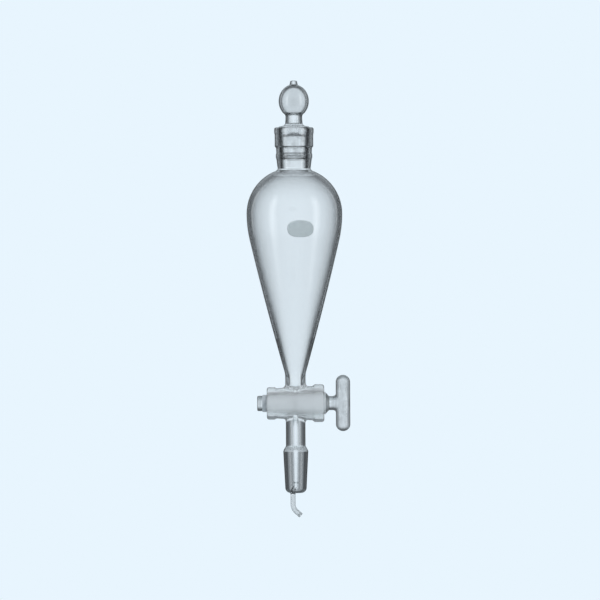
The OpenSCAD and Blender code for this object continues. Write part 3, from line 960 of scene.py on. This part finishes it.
funnel = piece("funnel_glass", funnel_glass(), FUNNEL_MATERIALS)
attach(funnel, "funnel")
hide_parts("bulb", "neck_socket", "stopcock_barrel", "lower_stem", "outlet_cone", "drip_tip")

stopper_skin, void_faces = stopper_glass()
stopper = piece("stopper_glass", stopper_skin, STOPPER_MATERIALS, void_faces)
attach(stopper, "stopper")
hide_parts("stopper_cone", "stopper_knob")

plug = piece("plug_glass", plug_glass(), [plug_clear_glass, milky_glass])
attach(plug, "plug")
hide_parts("stopcock_plug", "plug_handle")

ring = piece("retaining_ring_soft", ring_skin(), [rubber_material()])
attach(ring, "ring")
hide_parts("retaining_ring")

patch = piece("marking_patch", patch_skin(), [enamel_material()])
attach(patch, "funnel")


# -------------------------------------------- studio

scene = bpy.context.scene
PALE = (0.807, 0.913, 0.991)            # the pale blue of the backdrop
ROOM_GREY = (0.11, 0.118, 0.125)        # the room as the glass mirrors it
WINDOW_LIGHT = (3.0, 3.1, 3.15)

# what the world shows by direction. The windows go by the angle round from the front (0) to the back (1), and
# everything else by height, from straight down (0) over level (0.5) to straight up (1)
FRONT_WINDOWS = [(0.23, 0.0), (0.29, 0.9), (0.32, 0.9), (0.38, 0.0)]
FRONT_HEIGHTS = [(0.2, 0.0), (0.4, 1.0), (0.72, 1.0), (0.86, 0.0)]
BACK_WINDOWS = [(0.66, 0.0), (0.69, 0.4), (0.72, 0.0)]
BACK_HEIGHTS = [(0.41, 0.0), (0.48, 1.0), (0.72, 1.0), (0.86, 0.0)]
CEILING = [(0.6, 0.0), (0.74, 0.9), (1.0, 0.9)]
BEHIND_GLASS = [(0.0, 0.8), (0.4, 1.0), (0.62, 1.0), (0.76, 0.35), (0.85, 0.12), (1.0, 0.08)]
SOFT_LIGHT = [(0.0, 0.25), (0.45, 0.55), (0.6, 0.9), (1.0, 1.0)]

LENS, SENSOR = 200.0, 36.0      # millimetres
VIEW_WIDTH = 0.576              # metres across the picture, at the funnel
CAMERA_X, CAMERA_Z = 0.0049, 0.1451
CAMERA_ROLL = 0.34              # degrees; the funnel leans a little in the picture

camera = bpy.data.objects.new("camera", bpy.data.cameras.new("camera"))
camera.data.lens = LENS
camera.data.sensor_width = SENSOR
camera.data.clip_end = 20
camera.location = (CAMERA_X, -VIEW_WIDTH * LENS / SENSOR, CAMERA_Z)
camera.rotation_euler = (math.radians(90), math.radians(CAMERA_ROLL), 0)
scene.collection.objects.link(camera)
scene.camera = camera


def area_light(name, location, width, height, power):
    """A soft light on the middle of the funnel, which the camera and the glass don't see."""
    target = Vector((0, 0, 0.2))
    light = bpy.data.lights.new(name, "AREA")
    light.shape = "RECTANGLE"
    light.size, light.size_y = width, height
    light.energy = power
    obj = bpy.data.objects.new(name, light)
    obj.location = location
    obj.rotation_euler = (target - Vector(location)).to_track_quat("-Z", "Y").to_euler()
    obj.visible_camera = False
    obj.visible_glossy = False
    obj.visible_transmission = False
    scene.collection.objects.link(obj)


area_light("left_soft", (-1.26, -0.82, 0.45), 0.5, 1.1, 3)
area_light("right_soft", (1.26, -0.82, 0.45), 0.5, 1.1, 3)
area_light("top_soft", (0, -0.3, 1.7), 1.2, 1.2, 10)


def studio_world():
    """A pale room, which the camera sees plain and which gives its soft light from above. The glass mirrors
    a grey room with a pale ceiling and four tall soft windows, two to the front and two to the back, and the
    light through the glass falls off overhead."""
    world = bpy.data.worlds.new("studio")
    world.use_nodes = True
    nodes, links = world.node_tree.nodes, world.node_tree.links
    background = nodes["Background"]
    where = nodes.new("ShaderNodeTexCoord")
    split = nodes.new("ShaderNodeSeparateXYZ")
    links.new(where.outputs["Generated"], split.inputs["Vector"])

    def math_node(operation, a, b=None):
        node = nodes.new("ShaderNodeMath")
        node.operation = operation
        for socket, value in zip(node.inputs, (a, b)):
            if isinstance(value, (int, float)):
                socket.default_value = value
            elif value is not None:
                links.new(value, socket)
        return node.outputs[0]

    def by(value, stops):
        return ramp(nodes, links, value, stops)

    def times(a, b):
        return mix(nodes, links, "MULTIPLY", 1.0, a, b)

    def plus(a, b):
        return mix(nodes, links, "ADD", 1.0, a, b)

    up = math_node("ADD", math_node("MULTIPLY", split.outputs["Z"], 0.5), 0.5)
    ahead = math_node("MULTIPLY", split.outputs["Y"], -1.0)
    turned = math_node("ABSOLUTE", math_node("ARCTAN2", split.outputs["X"], ahead))
    around = math_node("DIVIDE", turned, math.pi)
    front = times(by(around, FRONT_WINDOWS), by(up, FRONT_HEIGHTS))
    back = times(by(around, BACK_WINDOWS), by(up, BACK_HEIGHTS))
    room = plus(ROOM_GREY, times(PALE, by(up, CEILING)))
    mirrored = plus(room, times(plus(front, back), WINDOW_LIGHT))
    behind = times(PALE, by(up, BEHIND_GLASS))
    soft = times(PALE, by(up, SOFT_LIGHT))
    path = nodes.new("ShaderNodeLightPath")
    in_glass = mix(nodes, links, "MIX", path.outputs["Is Transmission Ray"], mirrored, behind)
    in_air = mix(nodes, links, "MIX", path.outputs["Is Diffuse Ray"], PALE, soft)
    plain = math_node("MAXIMUM", path.outputs["Is Camera Ray"], path.outputs["Is Diffuse Ray"])
    links.new(mix(nodes, links, "MIX", plain, in_glass, in_air), background.inputs["Color"])
    return world


def studio_floor():
    """A pale round floor well below the funnel, which fades out towards its rim."""
    floor_z, radius = -0.40, 1.6
    bm = bmesh.new()
    bmesh.ops.create_circle(bm, cap_ends=True, segments=96, radius=radius)
    mesh = bpy.data.meshes.new("floor")
    bm.to_mesh(mesh)
    bm.free()
    floor = bpy.data.objects.new("floor", mesh)
    floor.location.z = floor_z
    scene.collection.objects.link(floor)
    material, nodes, links, shader = new_material("floor")
    shader.inputs["Roughness"].default_value = 0.7
    shader.inputs["Specular IOR Level"].default_value = 0.1
    cloud = noise(nodes, links, scale=3.0)
    links.new(ramp(nodes, links, cloud, [(0.3, (0.62, 0.665, 0.68)), (0.7, (0.65, 0.695, 0.71))]),
              shader.inputs["Base Color"])
    where = nodes.new("ShaderNodeTexCoord")
    length = nodes.new("ShaderNodeVectorMath")
    length.operation = "LENGTH"
    links.new(where.outputs["Object"], length.inputs[0])
    fade = smooth_step(nodes, links, length.outputs["Value"], 0.45 * radius, radius, 1.0, 0.0)
    links.new(fade, shader.inputs["Alpha"])
    mesh.materials.append(material)


scene.world = studio_world()
studio_floor()
scene.view_settings.view_transform = "Standard"
scene.cycles.max_bounces = 32
scene.cycles.transmission_bounces = 32
scene.cycles.glossy_bounces = 16
scene.cycles.transparent_max_bounces = 16
